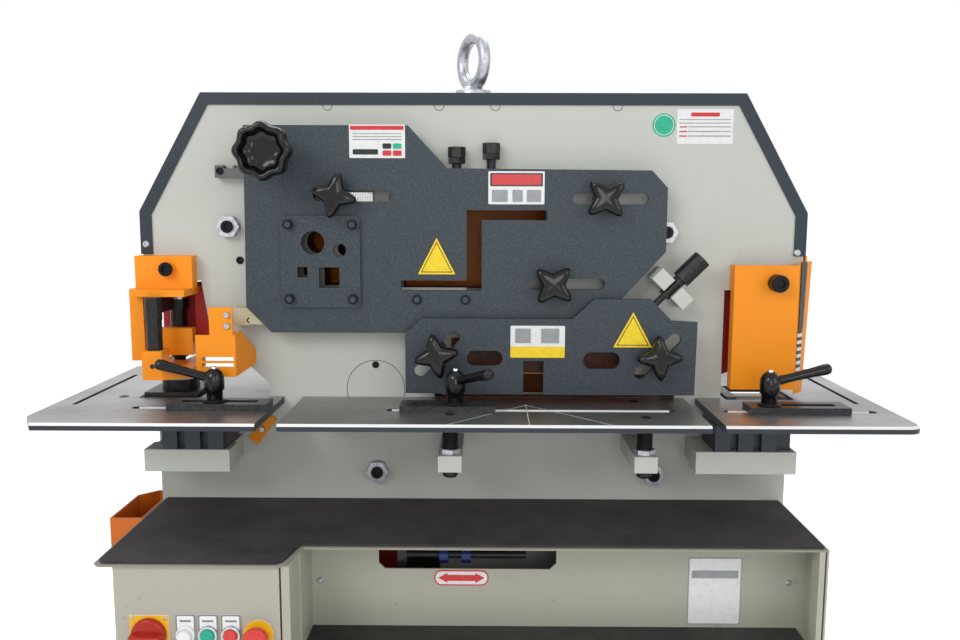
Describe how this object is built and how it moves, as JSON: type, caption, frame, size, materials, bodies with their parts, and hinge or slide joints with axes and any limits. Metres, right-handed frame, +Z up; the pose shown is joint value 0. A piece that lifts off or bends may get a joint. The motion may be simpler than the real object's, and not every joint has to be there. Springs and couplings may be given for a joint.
{
  "type": "hydraulic ironworker machine",
  "caption": "Twin-plate hydraulic ironworker with rocking beam, punch, bar, angle and flat shears, notcher, slotted tables with fences, sliding guides and a sheet-metal base with controls.",
  "frame": {"origin": "on the floor, below the front face of the front plate and midway between the base's side walls", "axes": "+X to the operator's right, +Y away from the operator, +Z up"},
  "size_m": [1.47, 0.758, 1.6232],
  "materials": {
    "frame_paint": "satin beige-grey paint",
    "dark_paint": "dark blue-grey hammertone paint",
    "orange_paint": "gloss orange paint",
    "beam_paint": "dark red paint",
    "ground_steel": "surface-ground steel",
    "tool_steel": "hardened tool steel",
    "black_steel": "blackened steel",
    "zinc": "bright zinc",
    "black_plastic": "gloss black",
    "rubber": "ribbed rubber",
    "slate_paint": "dark slate paint",
    "label_plate": "white plates",
    "green_plastic": "green button",
    "red_plastic": "red button",
    "bin_paint": "orange paint"
  },
  "bodies": {
    "frame": {"front_plate": "frame_paint", "rear_plate": "frame_paint", "plate_spacers": "black_steel", "gib_screws": "zinc", "pivot_pin": "ground_steel", "hood": "dark_paint", "eye_bolt": "zinc", "fixed_blades": "tool_steel", "hydraulic_cylinder": "dark_paint", "guide_blocks": "frame_paint", "guide_studs": "black_steel", "rack": "ground_steel", "centre_table": "ground_steel", "left_table": "ground_steel", "right_table": "ground_steel", "table_supports": "frame_paint", "levelling_screws": "black_steel", "table_bolsters": "slate_paint", "punch_block": "orange_paint", "punch_post": "black_steel", "stripper_foot": "orange_paint", "punch_die": "black_steel", "punch_guard": "orange_paint", "notch_guard": "orange_paint", "tray": "frame_paint", "rubber_mats": "rubber", "base_cabinet": "frame_paint", "control_box": "frame_paint", "control_plates": "label_plate", "slug_bin": "bin_paint", "power_pack": "dark_paint"},
    "beam": {"beam": "beam_paint", "beam_blades": "tool_steel"},
    "ram": {"punch_ram": "ground_steel", "punch": "black_steel"},
    "rod": {"piston_rod": "ground_steel"},
    "left_collar": {"left_stroke_collar": "black_steel"},
    "right_collar": {"right_stroke_collar": "black_steel"},
    "upper_guide": {"upper_guide": "dark_paint", "bar_hole_plate": "dark_paint"},
    "hand_wheel": {"hand_wheel": "black_plastic"},
    "lower_guide": {"lower_guide": "dark_paint"},
    "lead_screw": {"lead_screw": "black_steel"},
    "upper_left_knob": {"upper_left_knob": "black_plastic"},
    "upper_right_knob": {"upper_right_knob": "black_plastic"},
    "centre_knob": {"centre_knob": "black_plastic"},
    "lower_left_knob": {"lower_left_knob": "black_plastic"},
    "lower_right_knob": {"lower_right_knob": "black_plastic"},
    "left_hold_down_screw": {"left_hold_down_screw": "black_steel"},
    "right_hold_down_screw": {"right_hold_down_screw": "black_steel"},
    "left_fence": {"left_fence": "black_steel"},
    "left_clamp_lever": {"left_clamp_lever": "black_plastic"},
    "centre_fence": {"centre_fence": "black_steel"},
    "centre_clamp_lever": {"centre_clamp_lever": "black_plastic"},
    "right_fence": {"right_fence": "black_steel"},
    "right_clamp_lever": {"right_clamp_lever": "black_plastic"},
    "start_button": {"start_button": "green_plastic"},
    "stop_button": {"stop_button": "red_plastic"},
    "emergency_button": {"emergency_button": "red_plastic"},
    "isolator_knob": {"isolator_knob": "red_plastic"}
  },
  "joints": [
    {"name": "beam_rock", "type": "hinge", "parent": "frame", "child": "beam", "pos_m": [-0.178, 0.0503, 0.975], "axis": [0, -1, 0], "range_deg": [-2.5, 4]},
    {"name": "ram_slide", "type": "slide", "parent": "frame", "child": "ram", "axis": [0, 0, 1], "range_m": [-0.0265, 0.0165]},
    {"name": "rod_slide", "type": "slide", "parent": "frame", "child": "rod", "axis": [1, 0, 0], "range_m": [-0.024, 0.039]},
    {"name": "left_collar_slide", "type": "slide", "parent": "rod", "child": "left_collar", "axis": [1, 0, 0], "range_m": [-0.055, 0.018]},
    {"name": "right_collar_slide", "type": "slide", "parent": "rod", "child": "right_collar", "axis": [1, 0, 0], "range_m": [-0.018, 0.085]},
    {"name": "upper_guide_slide", "type": "slide", "parent": "frame", "child": "upper_guide", "axis": [1, 0, 0], "range_m": [-0.066, 0.012]},
    {"name": "hand_wheel_spin", "type": "hinge", "parent": "upper_guide", "child": "hand_wheel", "pos_m": [-0.344, -0.09, 1.398], "axis": [0, 1, 0], "range_deg": [-190, 35]},
    {"name": "lower_guide_slide", "type": "slide", "parent": "frame", "child": "lower_guide", "axis": [0.7071, 0, 0.7071], "range_m": [-0.024, 0.019]},
    {"name": "lead_screw_spin", "type": "hinge", "parent": "frame", "child": "lead_screw", "pos_m": [0.351, -0.046, 1.167], "axis": [0.7071, 0, 0.7071], "range_deg": [-1715, 2165]},
    {"name": "upper_left_knob_spin", "type": "hinge", "parent": "frame", "child": "upper_left_knob", "pos_m": [-0.238, -0.06, 1.327], "axis": [0, 1, 0], "continuous": true},
    {"name": "upper_right_knob_spin", "type": "hinge", "parent": "frame", "child": "upper_right_knob", "pos_m": [0.231, -0.06, 1.323], "axis": [0, 1, 0], "continuous": true},
    {"name": "centre_knob_spin", "type": "hinge", "parent": "frame", "child": "centre_knob", "pos_m": [0.143, -0.06, 1.173], "axis": [0, 1, 0], "continuous": true},
    {"name": "lower_left_knob_spin", "type": "hinge", "parent": "frame", "child": "lower_left_knob", "pos_m": [-0.062, -0.076, 1.049], "axis": [0, 1, 0], "continuous": true},
    {"name": "lower_right_knob_spin", "type": "hinge", "parent": "frame", "child": "lower_right_knob", "pos_m": [0.328, -0.076, 1.047], "axis": [0, 1, 0], "continuous": true},
    {"name": "left_hold_down_slide", "type": "slide", "parent": "frame", "child": "left_hold_down_screw", "axis": [0, 0, 1], "range_m": [-0.015, 0.02]},
    {"name": "right_hold_down_slide", "type": "slide", "parent": "frame", "child": "right_hold_down_screw", "axis": [0, 0, 1], "range_m": [-0.015, 0.02]},
    {"name": "left_fence_slide", "type": "slide", "parent": "frame", "child": "left_fence", "axis": [1, 0, 0], "range_m": [-0.07, 0.06]},
    {"name": "left_clamp_lever_turn", "type": "hinge", "parent": "left_fence", "child": "left_clamp_lever", "pos_m": [-0.446, -0.096, 1], "axis": [0, 0, 1], "range_deg": [0, 90]},
    {"name": "centre_fence_slide", "type": "slide", "parent": "frame", "child": "centre_fence", "axis": [1, 0, 0], "range_m": [-0.105, 0.365]},
    {"name": "centre_clamp_lever_turn", "type": "hinge", "parent": "centre_fence", "child": "centre_clamp_lever", "pos_m": [-0.0275, -0.106, 1], "axis": [0, 0, 1], "range_deg": [-80, 44]},
    {"name": "right_fence_slide", "type": "slide", "parent": "frame", "child": "right_fence", "axis": [1, 0, 0], "range_m": [-0.062, 0.17]},
    {"name": "right_clamp_lever_turn", "type": "hinge", "parent": "right_fence", "child": "right_clamp_lever", "pos_m": [0.512, -0.106, 1], "axis": [0, 0, 1], "range_deg": [-90, 0]},
    {"name": "start_button_push", "type": "slide", "parent": "frame", "child": "start_button", "axis": [0, 1, 0], "range_m": [0, 0.004], "stiffness_N_per_m": 900},
    {"name": "stop_button_push", "type": "slide", "parent": "frame", "child": "stop_button", "axis": [0, 1, 0], "range_m": [0, 0.004], "stiffness_N_per_m": 900},
    {"name": "emergency_button_push", "type": "slide", "parent": "frame", "child": "emergency_button", "axis": [0, 1, 0], "range_m": [0, 0.005], "stiffness_N_per_m": 900},
    {"name": "isolator_turn", "type": "hinge", "parent": "frame", "child": "isolator_knob", "pos_m": [-0.4945, -0.31, 0.65], "axis": [0, 1, 0], "range_deg": [0, 90]}
  ],
  "couplings": [
    {"joint": "ram_slide", "follows": "beam_rock", "m_per_rad": -0.367},
    {"joint": "rod_slide", "follows": "beam_rock", "m_per_rad": 0.535},
    {"joint": "hand_wheel_spin", "follows": "upper_guide_slide", "rad_per_m": 50},
    {"joint": "lead_screw_spin", "follows": "lower_guide_slide", "rad_per_m": -1570.8}
  ]
}
